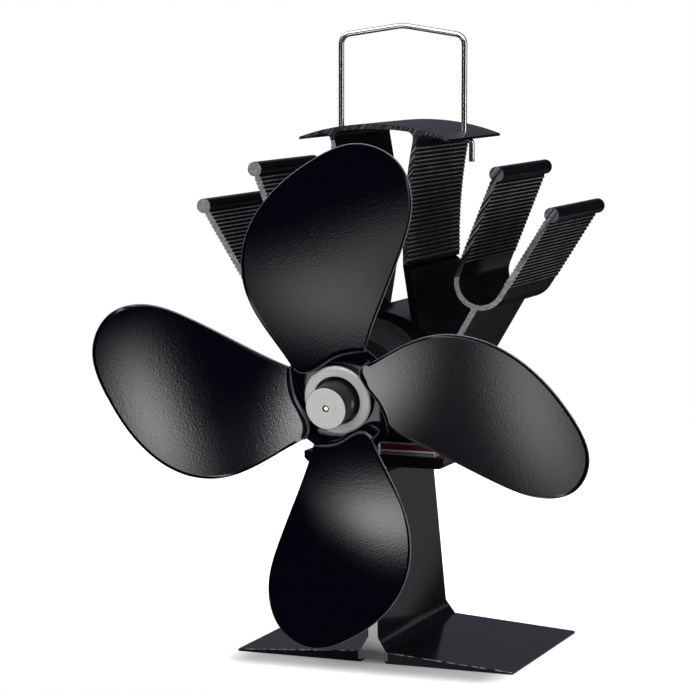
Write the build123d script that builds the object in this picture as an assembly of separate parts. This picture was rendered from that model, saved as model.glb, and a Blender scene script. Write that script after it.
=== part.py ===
from build123d import *
import math
import os

# Stove fan: an extruded base stand carries a thermoelectric module, an extruded finned heat sink is
# clamped down on the module, and a small motor in the heat sink turns a four-blade fan.
# Lengths are in millimetres. X is to the right, Y goes back from the fan, Z is up. It is modelled from
# the front of its extrusions, and then moved until the origin is on the ground under its middle.

# Base stand, one extrusion cut to length
base_width = 104.0
base_depth = 73.4
base_edge_thickness = 0.9
base_root_thickness = 4.2
groove_width = 9.6
groove_depth = 1.3
stem_thickness = 3.5
foot_width = 9.8
foot_height = 9.3
platform_height = 74.6
platform_width = 52.4
platform_thickness = 4.0
platform_corner = 1.5
gusset_width = 10.4
gusset_height = 3.7

# Thermoelectric module and the graphite sheets on each side of it
module_width = 40.0
ceramic_thickness = 0.75
pellet_height = 2.4
pellet_width = 2.6
pellet_count = 9
seal_width = 1.2
sheet_thickness = 0.15

# Heat sink, one extrusion: heights here are above the flat that sits on the module
sink_depth = 54.5
body_radius = 29.5
body_axis_rise = 17.2
bore_radius = 18.2
fin_thickness = 1.6
fin_waist_offset = 11.7
fin_waist_rise = 69.2
fin_curve_radius = 190.0
shoulder_thickness = 3.0
shoulder_base_offset = 16.2
shoulder_rise = 62.4
shoulder_slope = 2.2
fin_fillet = 2.4
crown_rise = 111.5
crown_half_width = 27.9
crown_curve_radius = 83.0
crown_thickness = 1.7
crown_edge_thickness = 0.9
fork_offset = 39.4
fork_rise = 57.5
fork_curve_radius = 8.65
fork_thickness = 1.75
fork_root_angle = 22.7
fork_seat_angle = -101.0
fork_stem_thickness = 2.0
inner_bulb_offset = 45.0
inner_bulb_rise = 95.0
outer_bulb_offset = 64.8
outer_bulb_rise = 81.5
bulb_radius = 2.6
ridge_pitch = 1.5
ridge_height = 0.42
ridge_start = 4.0

# Clamp screws, inside the motor bore in front of and behind the module
screw_radius = 1.5
screw_head_radius = 2.75
screw_head_height = 3.0
screw_edge = 3.8
screw_thread_depth = 6.4
bush_radius = 3.5
bush_flange_thickness = 0.8
bush_spigot_radius = 2.3
bush_spigot_length = 2.2
bush_seat_rise = 3.6

# Fan and motor: the root of the fan is this far in front and above the heat sink's flat, and places
# along their shared axis are measured forward from it
fan_reach = 33.0
fan_axis_rise = 19.35
fan_tilt = 9.1
fan_radius = 90.9
blade_count = 4
blade_thickness = 0.8
blade_rake = 4.0
blade_pitch = 12.05
bend_skew = 20.06
bend_radius = 391.0
blade_middle_share = (0.033, 0.572)
blade_rise = 3.3
disc_radius = 20.4
disc_place = -1.8
hub_radius = 7.3
hub_length = 13.2
hub_place = -1.6
hub_chamfer = 0.3
boss_radius = 12.0
boss_place = 1.4
boss_round = 1.0
boss_foot_radius = 10.8
boss_groove_radius = 8.5
hub_spigot_radius = 8.0
rivet_collar_radius = 9.4
rivet_collar_thickness = 0.8
grub_radius = 1.5
grub_length = 5.0
shaft_radius = 1.0
shaft_tip = 11.2
motor_radius = 16.0
motor_length = 25.0
motor_place = -21.0
motor_wall = 0.8
motor_nose_radius = 3.6
motor_nose_length = 1.6
bearing_radius = 2.6
bearing_length = 4.0
end_cap_thickness = 2.6
magnet_thickness = 3.1
magnet_length = 15.0
magnet_angle = 130.0
core_radius = 11.4
core_length = 10.0
core_tooth_width = 4.0
core_tip_thickness = 2.0
core_tip_angle = 96.0
core_hub_radius = 3.6
coil_thickness = 1.9
commutator_radius = 2.8
commutator_length = 4.6
commutator_gap = 0.5
brush_thickness = 0.4
brush_width = 3.0
terminal_offset = 8.0
terminal_width = 2.4
terminal_thickness = 0.5
terminal_length = 4.0
sleeve_length = 14.0

# Leads from the module to the motor
lead_radius = 0.75
lead_offset = 7.0
lead_loop = 4.6

# Carrying handle, one bent wire
wire_radius = 1.0
handle_leg_offset = 23.3
handle_setback = 28.5
handle_corner_rise = 31.4
handle_peak_rise = 34.9
handle_corner_radius = 3.6
hook_reach = 2.9
hook_drop = 7.6
hook_radius = 1.3
handle_hole_clearance = 0.35

# Bimetal safety strip in the groove under the stem
strip_width = 8.4
strip_length = 46.0
strip_thickness = 0.6
strip_front = 7.0
strip_tail = 3.4
strip_roof_gap = 0.2
rivet_radius = 1.4
rivet_head_radius = 2.5
rivet_head_thickness = 0.28
rivet_head_gap = 0.12
rivet_grip = 4.5

# Clearances and overruns
running_clearance = 0.03
slip_clearance = 0.05
seat_gap = 0.02
overrun = 2.0

# Heights that follow from the stack on the platform
hot_sheet_z = platform_height
hot_plate_z = hot_sheet_z + sheet_thickness
pellet_z = hot_plate_z + ceramic_thickness
cold_plate_z = pellet_z + pellet_height
cold_sheet_z = cold_plate_z + ceramic_thickness
sink_z = cold_sheet_z + sheet_thickness
crown_z = sink_z + crown_rise
fan_z = sink_z + fan_axis_rise

# The fan's own frame: its local Z runs forward along the tilted shaft, and its local Y up the disc
tilt = math.radians(fan_tilt)
axis_direction = Vector(0, -math.cos(tilt), -math.sin(tilt))
fan_frame = Plane(origin=(0, -fan_reach, fan_z), x_dir=(1, 0, 0), z_dir=axis_direction)
front = Plane.XZ
backwards = (0, 1, 0)
standing = (Align.CENTER, Align.CENTER, Align.MIN)


def point_on(centre, radius, angle):
    """The point of a circle at an angle in degrees from +X."""
    return Vector(centre.X + radius * math.cos(math.radians(angle)),
                  centre.Y + radius * math.sin(math.radians(angle)))


def section(*corners):
    """A face in the front plane from its corners, given as (x, z)."""
    return front * make_face(Polyline(*corners, close=True))


def pulled_back(face, depth, start=0.0):
    """A front-plane face carried straight back by a depth."""
    return Pos(0, start, 0) * extrude(face, amount=depth, dir=backwards)


def lifted(outline, height, start=0.0):
    """A flat face carried straight up by a height, in the fan's frame."""
    face = outline.face()
    if face.normal_at().Z < 0:
        face = -face
    return Pos(0, 0, start) * extrude(face, amount=height)


def along_axis(radius, start, length):
    """A cylinder on the fan's axis, from a place along it, in the fan's frame."""
    return Pos(0, 0, start) * Cylinder(radius, length, align=standing)


def upright(radius, height, x, y, z):
    """A vertical cylinder standing at a point."""
    return Pos(x, y, z) * Cylinder(radius, height, align=standing)


# Base stand: a plate that thins to its edges, a web on a chamfered foot, and the module's platform.
# The whole back is one slanted cut, from the plate's full depth to the heat sink's depth.
def make_base_stand():
    half = base_width / 2
    web = stem_thickness / 2
    foot = foot_width / 2
    groove = groove_width / 2
    gusset = gusset_width / 2
    deck = platform_width / 2
    under_deck = platform_height - platform_thickness
    right_side = [(0, groove_depth), (groove - groove_depth / 2, groove_depth), (groove, 0), (half, 0),
                  (half, base_edge_thickness), (foot, base_root_thickness), (web, foot_height),
                  (web, under_deck - gusset_height), (gusset, under_deck), (deck - platform_corner, under_deck),
                  (deck, under_deck + platform_corner), (deck, platform_height)]
    left_side = [(-x, z) for x, z in reversed(right_side[1:])]
    stand = pulled_back(section(*right_side, *left_side), base_depth)
    back_cut = make_face(Polyline((base_depth, base_root_thickness), (sink_depth, platform_height),
                                  (sink_depth, platform_height + overrun),
                                  (base_depth + overrun, platform_height + overrun),
                                  (base_depth + overrun, base_root_thickness), close=True))
    stand -= extrude(Plane.YZ * back_cut, amount=base_width, both=True)
    for y in (screw_edge, sink_depth - screw_edge):
        hole = upright(screw_radius + slip_clearance, screw_thread_depth + overrun, 0, y,
                       platform_height - screw_thread_depth)
        stand -= hole
    rivet_y = strip_front + strip_length - strip_tail
    stand -= upright(rivet_radius + slip_clearance, rivet_grip, 0, rivet_y, groove_depth)
    return stand


def ridged_side(place, length, offset, ridges_from, ridges_to):
    """One side of an extruded wall with rows of sharp ridges, as points from its foot to its top.

    place(s) gives the wall's middle and its right-hand normal at a distance s. A negative offset is the
    left-hand side."""
    rows = int((ridges_to - ridges_from) / ridge_pitch)
    crest = offset + math.copysign(ridge_height, offset)
    steps = [(0.0, offset)]
    for row in range(rows):
        start = ridges_from + row * ridge_pitch
        steps += [(start, offset), (start + ridge_pitch / 2, crest)]
    steps += [(ridges_from + rows * ridge_pitch, offset), (length, offset)]
    points = []
    for s, out in steps:
        middle, normal = place(s)
        points.append(middle + normal * out)
    return points


# Where a straight arm leaves the fork's round bottom as its tangent, and its direction to the bulb
def fork_arm(centre, bulb, side):
    reach = bulb - centre
    distance = reach.length
    swing = math.degrees(math.acos(fork_curve_radius / distance))
    heading = math.degrees(math.atan2(reach.Y, reach.X))
    start = point_on(centre, fork_curve_radius, heading + side * swing)
    return start, (bulb - start).normalized(), (bulb - start).length


# Half of the heat sink's section: a forked fin and a centre fin, on the right of the body
def sink_right_fins():
    body_centre = Vector(0, sink_z + body_axis_rise)
    centre = Vector(fork_offset, sink_z + fork_rise)
    fork = front * (Pos(centre.X, centre.Y) * Circle(fork_curve_radius + fork_thickness / 2))
    fork -= front * (Pos(centre.X, centre.Y) * Circle(fork_curve_radius - fork_thickness / 2))
    starts = []
    arms = []
    for x, rise, side in ((inner_bulb_offset, inner_bulb_rise, 1), (outer_bulb_offset, outer_bulb_rise, -1)):
        bulb = Vector(x, sink_z + rise)
        start, direction, length = fork_arm(centre, bulb, side)
        starts.append(start)
        normal = Vector(direction.Y, -direction.X)

        def arm_place(s):
            return start + direction * s, normal

        sides = [ridged_side(arm_place, length, offset, ridge_start, length - bulb_radius)
                 for offset in (fork_thickness / 2, -fork_thickness / 2)]
        outline = [(p.X, p.Y) for p in sides[0] + sides[1][::-1]]
        arms.append(section(*outline) + front * (Pos(bulb.X, bulb.Y) * Circle(bulb_radius)))
    mouth = [centre, starts[0] + (starts[0] - centre) * 0.5, Vector(centre.X, centre.Y + 3 * fork_curve_radius),
             Vector(centre.X + 3 * fork_curve_radius, centre.Y), starts[1] + (starts[1] - centre) * 0.5]
    fork -= section(*[(p.X, p.Y) for p in mouth])
    stem_top = point_on(centre, fork_curve_radius, fork_seat_angle)
    stem_root = point_on(body_centre, body_radius - fork_stem_thickness, fork_root_angle)
    stem_way = (stem_top - stem_root).normalized()
    across = Vector(stem_way.Y, -stem_way.X) * (fork_stem_thickness / 2)
    stem = [stem_root + across, stem_top + across, stem_top - across, stem_root - across]
    fork += section(*[(p.X, p.Y) for p in stem])
    for arm in arms:
        fork += arm

    waist = sink_z + fin_waist_rise
    ledge = sink_z + shoulder_rise
    fin_end = crown_z - crown_thickness / 2 - crown_drop(fin_waist_offset)
    ledge_angle = math.degrees(math.asin((ledge - waist) / fin_curve_radius))

    def fin_place(s):
        angle = ledge_angle + math.degrees(s / fin_curve_radius)
        middle = Vector(fin_waist_offset + fin_curve_radius * (1 - math.cos(math.radians(angle))),
                        waist + fin_curve_radius * math.sin(math.radians(angle)))
        return middle, Vector(math.cos(math.radians(angle)), -math.sin(math.radians(angle)))

    fin_length = fin_end - ledge
    outer = ridged_side(fin_place, fin_length, fin_thickness / 2, ridge_pitch,
                        fin_length - fin_fillet - crown_thickness)
    smooth = []
    for s in (fin_length, fin_length / 2, 0):
        middle, normal = fin_place(s)
        smooth.append(middle - normal * (fin_thickness / 2))
    fin = front * make_face([Polyline(*outer), Line(outer[-1], smooth[0]), ThreePointArc(*smooth),
                             Line(smooth[2], outer[0])])
    ledge_middle = fin_place(0)[0].X
    inner = ledge_middle - fin_thickness / 2
    shoulder_foot = sink_z + body_axis_rise + math.sqrt(body_radius ** 2 - shoulder_base_offset ** 2) - overrun
    fin += section((inner, ledge), (inner + shoulder_thickness, ledge - shoulder_slope),
                   (shoulder_base_offset + shoulder_thickness / 2, shoulder_foot),
                   (shoulder_base_offset - shoulder_thickness / 2, shoulder_foot))
    return fork, fin


def crown_drop(x, radius=crown_curve_radius):
    """How far an arc has fallen from its crest at a distance from the middle."""
    return radius - math.sqrt(radius ** 2 - x ** 2)


# The underside's own arc, which leaves the edges thinner than the crest
under_fall = crown_drop(crown_half_width) + crown_edge_thickness - crown_thickness
under_radius = (crown_half_width ** 2 + under_fall ** 2) / (2 * under_fall)


def crown_underside(x):
    """The height of the top plate's underside at a distance from the middle."""
    return crown_z - crown_thickness - crown_drop(x, under_radius)


# Heat sink: a round body with the motor bore, flat where it sits on the module, two centre fins that
# pinch in and carry the curved top plate, and a forked fin on each side. It is cut square to length.
def make_heat_sink():
    body_z = sink_z + body_axis_rise
    body = front * (Pos(0, body_z) * Circle(body_radius))
    under_body = body_z - body_radius - overrun
    body -= section((-body_radius, sink_z), (body_radius, sink_z), (body_radius, under_body),
                    (-body_radius, under_body))
    crown = front * (Pos(0, crown_z - crown_curve_radius) * Circle(crown_curve_radius))
    crown -= front * (Pos(0, crown_z - crown_thickness - under_radius) * Circle(under_radius))
    crown_foot = crown_z - 2 * crown_drop(crown_half_width)
    crown &= section((-crown_half_width, crown_foot), (crown_half_width, crown_foot),
                     (crown_half_width, crown_z + overrun), (-crown_half_width, crown_z + overrun))
    fork, fin = sink_right_fins()
    outline = body + crown
    for piece in (fork, fin):
        outline += piece
        outline += mirror(piece, Plane.YZ)
    sink = pulled_back(outline.clean(), sink_depth)
    corners = [edge for edge in sink.edges().filter_by(Axis.Y) if is_fin_corner(edge.center())]
    sink = fillet(corners, fin_fillet)
    sink -= pulled_back(front * (Pos(0, bore_z) * Circle(bore_radius)), sink_depth + 2 * overrun, -overrun)
    for y in (screw_edge, sink_depth - screw_edge):
        sink -= upright(bush_spigot_radius + slip_clearance, bore_z - sink_z, 0, y, sink_z - overrun / 2)
        sink -= upright(bush_radius + slip_clearance, bore_z - sink_z, 0, y, sink_z + bush_seat_rise)
    for side in (-1, 1):
        sink -= upright(wire_radius + handle_hole_clearance, 4 * crown_thickness + overrun,
                        side * handle_leg_offset, handle_setback,
                        crown_z - crown_drop(handle_leg_offset) - 2 * crown_thickness - overrun)
    return sink


def is_fin_corner(point):
    """Whether a corner of the section is where a centre fin meets the underside of the top plate."""
    is_under = abs(point.Z - crown_underside(abs(point.X))) < crown_thickness / 4
    return is_under and abs(point.X) < crown_half_width - overrun


# The motor bore's height: the tilted motor axis crosses it in the middle of the sleeve
bore_z = fan_z + (fan_reach + sleeve_length / 2) * math.tan(tilt)


# Module: two ceramic plates with a grid of pellets between them, closed by a seal round the edge
def make_module():
    def slab(z, thickness, width):
        return Pos(0, sink_depth / 2, z) * Box(width, width, thickness, align=standing)

    inside = module_width - 2 * seal_width
    spacing = inside / pellet_count
    pellets = []
    for row in range(pellet_count):
        for column in range(pellet_count):
            x = (column - (pellet_count - 1) / 2) * spacing
            y = sink_depth / 2 + (row - (pellet_count - 1) / 2) * spacing
            pellets.append(Pos(x, y, pellet_z) * Box(pellet_width, pellet_width, pellet_height, align=standing))
    seal = slab(pellet_z, pellet_height, module_width - 2 * seat_gap) - slab(pellet_z, pellet_height, inside)
    lead_z = pellet_z + pellet_height / 2
    for side in (-1, 1):
        way = Pos(side * lead_offset, sink_depth / 2 + module_width / 2, lead_z) * Rot(X=90)
        seal -= way * Cylinder(lead_radius + slip_clearance, 2 * seal_width)
    return {
        "hot_side_sheet": slab(hot_sheet_z, sheet_thickness, module_width),
        "module_hot_plate": slab(hot_plate_z, ceramic_thickness, module_width),
        "module_pellets": Compound(pellets),
        "module_seal": seal,
        "module_cold_plate": slab(cold_plate_z, ceramic_thickness, module_width),
        "cold_side_sheet": slab(cold_sheet_z, sheet_thickness, module_width),
    }


# Clamp: two socket screws in the floor of the bore, each through a flanged insulating bush
def make_clamp():
    screws = []
    bushes = []
    seat = sink_z + bush_seat_rise
    for y in (screw_edge, sink_depth - screw_edge):
        head_z = seat + bush_flange_thickness
        shank_foot = platform_height - screw_thread_depth + overrun / 4
        screw = upright(screw_head_radius, screw_head_height, 0, y, head_z)
        screw += upright(screw_radius, head_z - shank_foot, 0, y, shank_foot)
        socket = RegularPolygon(screw_head_radius / 2, 6)
        screw -= Pos(0, y, head_z + screw_head_height / 2) * extrude(socket, amount=screw_head_height)
        screws.append(screw)
        bush = upright(bush_radius, bush_flange_thickness, 0, y, seat)
        bush += upright(bush_spigot_radius, bush_spigot_length, 0, y, seat - bush_spigot_length)
        bush -= upright(screw_radius + slip_clearance, bush_seat_rise + overrun, 0, y, sink_z)
        bushes.append(bush)
    return {"clamp_screws": Compound(screws), "clamp_bushes": Compound(bushes)}


# One blade: a round-ended outline cut from sheet that is bent to a large radius, pitched and raked.
# Outline points are shares of the fan's radius, across and up from the shaft, with the blade upright.
root_line_share = [(-0.150, 0.132), (-0.114, 0.114), (-0.078, 0.122), (-0.044, 0.141), (0.002, 0.170),
                   (0.056, 0.187), (0.116, 0.195)]
edge_line_share = [(0.116, 0.195), (0.205, 0.405), (0.293, 0.602), (0.338, 0.765), (0.300, 0.914),
                   (0.165, 0.986), (-0.010, 0.931), (-0.190, 0.790), (-0.290, 0.617), (-0.300, 0.446),
                   (-0.238, 0.287), (-0.150, 0.132)]


def scaled(shares):
    return [(x * fan_radius, y * fan_radius) for x, y in shares]


def bend_cylinder(radius):
    """The solid inside the bend, in the fan's frame with the blade upright."""
    middle_x, middle_y = scaled([blade_middle_share])[0]
    lie = Location((middle_x, middle_y, blade_rise), (blade_rake, blade_pitch, bend_skew))
    return lie * Pos(0, 0, bend_radius) * Rot(X=90) * Cylinder(radius, 4 * fan_radius)


def make_blade():
    root_line = Spline(*scaled(root_line_share))
    edge_line = Spline(*scaled(edge_line_share))
    outline = make_face(root_line + edge_line)
    reach = 2 * disc_radius
    sheet = bend_cylinder(bend_radius + blade_thickness / 2) - bend_cylinder(bend_radius - blade_thickness / 2)
    blade = lifted(outline, 2 * reach, -reach) & sheet
    inner_line = Spline(*[(x, y - blade_thickness) for x, y in scaled(root_line_share)])
    closing = [Line(root_line @ 0, inner_line @ 0), Line(root_line @ 1, inner_line @ 1)]
    wall_outline = make_face([root_line, inner_line, *closing])
    disc_back = disc_place - blade_thickness
    wall = lifted(wall_outline, reach, disc_back)
    wall -= bend_cylinder(bend_radius - blade_thickness / 2)
    return blade + wall


# Fan: the pressed disc and the four blades on it, all one stamping
def make_fan_blades():
    fan = along_axis(disc_radius, disc_place - blade_thickness, blade_thickness)
    fan -= along_axis(hub_spigot_radius + seat_gap, disc_place - overrun, 2 * overrun)
    blade = make_blade()
    for number in range(blade_count):
        fan += Rot(Z=number * 360 / blade_count) * blade
    return fan


# Hub: one turned piece, a barrel that stands in a groove of a round-edged boss. The boss seats on the
# disc and is riveted behind it. The barrel is bored for the shaft, with a grub screw from the side.
def make_hub():
    face = hub_place + hub_length
    collar = disc_place - blade_thickness - rivet_collar_thickness
    below = Polyline((0, face), (0, collar), (rivet_collar_radius, collar),
                     (rivet_collar_radius, disc_place - blade_thickness),
                     (hub_spigot_radius, disc_place - blade_thickness), (hub_spigot_radius, disc_place),
                     (boss_foot_radius, disc_place), (boss_radius, boss_place - boss_round))
    rim_curve = JernArc(below @ 1, (0, 1), boss_round, 90)
    above = Polyline(rim_curve @ 1, (boss_groove_radius, boss_place), (boss_groove_radius, hub_place),
                     (hub_radius, hub_place), (hub_radius, face - hub_chamfer),
                     (hub_radius - hub_chamfer, face), (0, face))
    hub = revolve(Plane.XZ * make_face([below, rim_curve, above]), axis=Axis.Z)
    hub -= along_axis(shaft_radius, collar - overrun, hub_length + 4 * overrun)
    countersink = Cone(shaft_radius, shaft_radius + 2 * hub_chamfer, 2 * hub_chamfer, align=standing)
    hub -= Pos(0, 0, face - hub_chamfer) * countersink
    grub_way = Pos(0, 0, hub_place + hub_length / 2) * Rot(Y=90)
    hub -= grub_way * Cylinder(grub_radius, hub_radius + overrun, align=standing)
    screw = Cylinder(grub_radius - seat_gap, grub_length, align=standing)
    socket = extrude(RegularPolygon(grub_radius / 2, 6), amount=grub_length)
    screw -= Pos(0, 0, grub_length / 2) * socket
    return hub, grub_way * Pos(0, 0, shaft_radius + seat_gap) * screw


# Motor: a drawn can with two arc magnets, a three-slot armature and a moulded end cap with brushes
def make_motor():
    face = motor_place
    back = face - motor_length
    inside = motor_radius - motor_wall
    can = along_axis(motor_radius, back, motor_length)
    can -= along_axis(inside, back - overrun, motor_length + overrun - motor_wall)
    can += along_axis(motor_nose_radius, face, motor_nose_length)
    can -= along_axis(bearing_radius + seat_gap, face - motor_wall - overrun, motor_nose_length + 2 * overrun)
    front_bearing = along_axis(bearing_radius, face + motor_nose_length - bearing_length, bearing_length)
    front_bearing -= along_axis(shaft_radius + running_clearance, face - bearing_length, 2 * bearing_length)
    cap_back = back + seat_gap
    cap = along_axis(inside - seat_gap, cap_back, end_cap_thickness)
    cap += along_axis(bearing_radius + motor_wall, cap_back - motor_wall, end_cap_thickness + motor_wall)
    cap -= along_axis(bearing_radius + seat_gap, cap_back, bearing_length)
    cap -= along_axis(shaft_radius + running_clearance, cap_back - overrun, 2 * overrun)
    rear_bearing = along_axis(bearing_radius, cap_back + seat_gap, bearing_length)
    rear_bearing -= along_axis(shaft_radius + running_clearance, cap_back - overrun, 3 * bearing_length)

    bearing_back = face + motor_nose_length - bearing_length
    core_place = bearing_back - 2 * commutator_gap - coil_thickness - core_length / 2
    magnets = []
    for angle in (0, 180):
        ring = along_axis(inside - seat_gap, core_place - magnet_length / 2, magnet_length)
        ring -= along_axis(inside - magnet_thickness, core_place - magnet_length, 2 * magnet_length)
        keep = Pos(0, 0, core_place) * wedge(magnet_angle, motor_radius, magnet_length)
        magnets.append(Rot(Z=angle) * (ring & keep))

    core = along_axis(core_hub_radius, core_place - core_length / 2, core_length)
    rim = along_axis(core_radius, core_place - core_length / 2, core_length)
    rim -= along_axis(core_radius - core_tip_thickness, core_place - core_length, 2 * core_length)
    tip = rim & (Pos(0, 0, core_place) * wedge(core_tip_angle, motor_radius, core_length))
    tooth = Box(core_radius - core_tip_thickness, core_tooth_width, core_length)
    tooth = Pos(core_radius / 2, 0, core_place) * tooth
    tooth -= along_axis(core_hub_radius / 2, core_place - core_length, 2 * core_length)
    coils = []
    coil_room = core_radius - core_tip_thickness - core_hub_radius - 2 * seat_gap
    for number in range(3):
        turn = Rot(Z=number * 120)
        core += turn * (tip + tooth)
        middle = Pos(core_hub_radius + seat_gap + coil_room / 2, 0, core_place)
        coil = Box(coil_room, core_tooth_width + 2 * coil_thickness, core_length + 2 * coil_thickness)
        coil = fillet(coil.edges().filter_by(Axis.X), coil_thickness)
        coil -= Box(2 * coil_room, core_tooth_width + 2 * seat_gap, core_length + 2 * seat_gap)
        coils.append(turn * middle * coil)
    core -= along_axis(shaft_radius, core_place - core_length, 2 * core_length)
    coil_limit = along_axis(core_radius - core_tip_thickness, core_place - core_length, 2 * core_length)
    coils = [coil & (turn_limit(number) & coil_limit) for number, coil in enumerate(coils)]

    brush_z = cap_back + end_cap_thickness
    commutator = along_axis(commutator_radius, brush_z + commutator_gap + bearing_length - end_cap_thickness,
                            commutator_length)
    commutator -= along_axis(shaft_radius, back, motor_length)
    brushes = []
    terminals = []
    for side in (-1, 1):
        x = side * (commutator_radius + brush_thickness / 2 + seat_gap)
        brush_length = commutator_length + bearing_length - end_cap_thickness
        brush = Pos(x, 0, brush_z) * Box(brush_thickness, brush_width, brush_length, align=standing)
        foot_length = terminal_offset - abs(x)
        foot = Box(foot_length, brush_width, brush_thickness, align=standing)
        brush += Pos(x + side * foot_length / 2, 0, brush_z) * foot
        brushes.append(brush)
        tab_length = terminal_length + end_cap_thickness
        tab_place = Pos(side * terminal_offset, 0, brush_z - tab_length)
        terminals.append(tab_place * Box(terminal_thickness, terminal_width, tab_length, align=standing))
        cap -= tab_place * Box(terminal_thickness + 2 * seat_gap, terminal_width + 2 * seat_gap,
                               tab_length + overrun, align=standing)
    shaft_foot = cap_back + slip_clearance
    shaft = along_axis(shaft_radius, shaft_foot, shaft_tip - shaft_foot)
    return {
        "motor_can": can,
        "motor_front_bearing": front_bearing,
        "motor_end_cap": cap,
        "motor_rear_bearing": rear_bearing,
        "motor_magnets": Compound(magnets),
        "armature_core": core,
        "armature_coils": Compound(coils),
        "commutator": commutator,
        "motor_brushes": Compound(brushes),
        "motor_terminals": Compound(terminals),
        "motor_shaft": shaft,
    }


def wedge(angle, radius, height):
    """A thick pie slice about +X, centred on its own height."""
    half = math.radians(angle / 2)
    reach = 2 * radius
    corners = make_face(Polyline((0, 0), (reach * math.cos(half), -reach * math.sin(half)), (reach, 0),
                                 (reach * math.cos(half), reach * math.sin(half)), close=True))
    return extrude(corners, amount=height, both=True)


def turn_limit(number):
    """The third of the slot space that one coil may fill."""
    share = 360 / 3 - 2 * math.degrees(seat_gap / core_hub_radius)
    return Rot(Z=number * 120) * Pos(0, 0, motor_place) * wedge(share, core_radius, motor_length + motor_radius)


# Sleeve: a moulded ring that fills the straight bore round the tilted motor, and so sets its tilt
def make_sleeve():
    ring = pulled_back(front * (Pos(0, bore_z) * Circle(bore_radius - seat_gap)), sleeve_length)
    can_room = fan_frame * along_axis(motor_radius + seat_gap, motor_place - 2 * motor_length, 3 * motor_length)
    return ring - can_room


# Leads: each leaves the module's seal at the back, loops round the heat sink's edge and runs down the
# bore to its motor terminal. Bends are as large as the loop leaves room for.
def make_lead(side):
    lead_z = pellet_z + pellet_height / 2
    start_y = sink_depth / 2 + module_width / 2 - seal_width / 2
    tab_end = fan_frame * Pos(side * terminal_offset, 0, motor_place - motor_length + seat_gap - terminal_length)
    end = Vector(tab_end.position.X + side * (terminal_thickness / 2 + lead_radius + seat_gap),
                 tab_end.position.Y - terminal_length / 2, tab_end.position.Z)
    bore_floor = bore_z - bore_radius
    out = sink_depth + lead_loop
    x = side * lead_offset
    floor_z = bore_floor + lead_loop
    route = [Vector(x, start_y, lead_z), Vector(x, out, lead_z),
             Vector(x, out + lead_radius, (lead_z + floor_z) / 2), Vector(x, out, floor_z),
             Vector((x + end.X) / 2, (out + end.Y) / 2, floor_z + lead_loop),
             Vector(end.X, end.Y + 2 * terminal_length, end.Z + lead_radius), end]
    radii = []
    for before, corner, after in zip(route, route[1:], route[2:]):
        turn = math.radians((corner - before).get_angle(after - corner))
        shorter = min((corner - before).length, (after - corner).length)
        radii.append(0.45 * shorter / math.tan(turn / 2))
    path = FilletPolyline(*route, radius=radii)
    tube = sweep(Plane(origin=path @ 0, z_dir=path % 0) * Circle(lead_radius), path)
    print("lead", side, "length", round(path.length, 1), "least radius", round(min(radii), 2))
    return tube


# Handle: one wire, bent to a shallow roof on top, with legs through the top plate and hooked ends
def make_handle():
    plate_under = crown_underside(handle_leg_offset + hook_reach)
    hook_z = plate_under - wire_radius - slip_clearance
    corner_z = crown_z + handle_corner_rise - wire_radius
    peak_z = crown_z + handle_peak_rise - wire_radius
    y = handle_setback
    leg = handle_leg_offset
    half = [(leg + hook_reach, y, hook_z - hook_drop), (leg + hook_reach, y, hook_z), (leg, y, hook_z),
            (leg, y, corner_z)]
    other_half = [(-a, b, c) for a, b, c in reversed(half)]
    radii = [hook_radius, hook_radius, handle_corner_radius, 4 * handle_corner_radius, handle_corner_radius,
             hook_radius, hook_radius]
    path = FilletPolyline(*half, (0, y, peak_z), *other_half, radius=radii)
    return sweep(Plane(origin=path @ 0, z_dir=path % 0) * Circle(wire_radius), path)


# Safety strip: a flat bimetal strip in the groove, held by one rivet near its back end
def make_strip():
    rivet_y = strip_front + strip_length - strip_tail
    top = groove_depth - strip_roof_gap
    flat = Pos(0, strip_front + strip_length / 2, top - strip_thickness)
    strip = flat * Box(strip_width, strip_length, strip_thickness, align=standing)
    strip -= upright(rivet_radius + strip_roof_gap, groove_depth, 0, rivet_y, 0)
    head_top = top - strip_thickness - rivet_head_gap
    rivet = upright(rivet_head_radius, rivet_head_thickness, 0, rivet_y, head_top - rivet_head_thickness)
    rivet += upright(rivet_radius, groove_depth + rivet_grip - overrun / 4 - head_top, 0, rivet_y, head_top)
    return strip, rivet


pieces = {"base_stand": make_base_stand(), "heat_sink": make_heat_sink()}
pieces.update(make_module())
pieces.update(make_clamp())
pieces["motor_sleeve"] = make_sleeve()
pieces["carry_handle"] = make_handle()
pieces["lead_red"] = make_lead(1)
pieces["lead_black"] = make_lead(-1)
pieces["safety_strip"], pieces["strip_rivet"] = make_strip()

on_axis = make_motor()
on_axis["fan_blades"] = make_fan_blades()
on_axis["hub_bush"], on_axis["grub_screw"] = make_hub()
for name, piece in on_axis.items():
    pieces[name] = fan_frame.location * piece

box = Compound([solid for piece in pieces.values() for solid in piece.solids()]).bounding_box()
to_origin = Location((-box.center().X, -box.center().Y, -box.min.Z))
print("moved by", to_origin.position)

os.makedirs("parts", exist_ok=True)
for name, piece in pieces.items():
    export_step(to_origin * piece, os.path.join("parts", name + ".step"))
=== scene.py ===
import bpy
import math
import numpy as np
from mathutils import Matrix, Vector


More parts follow.
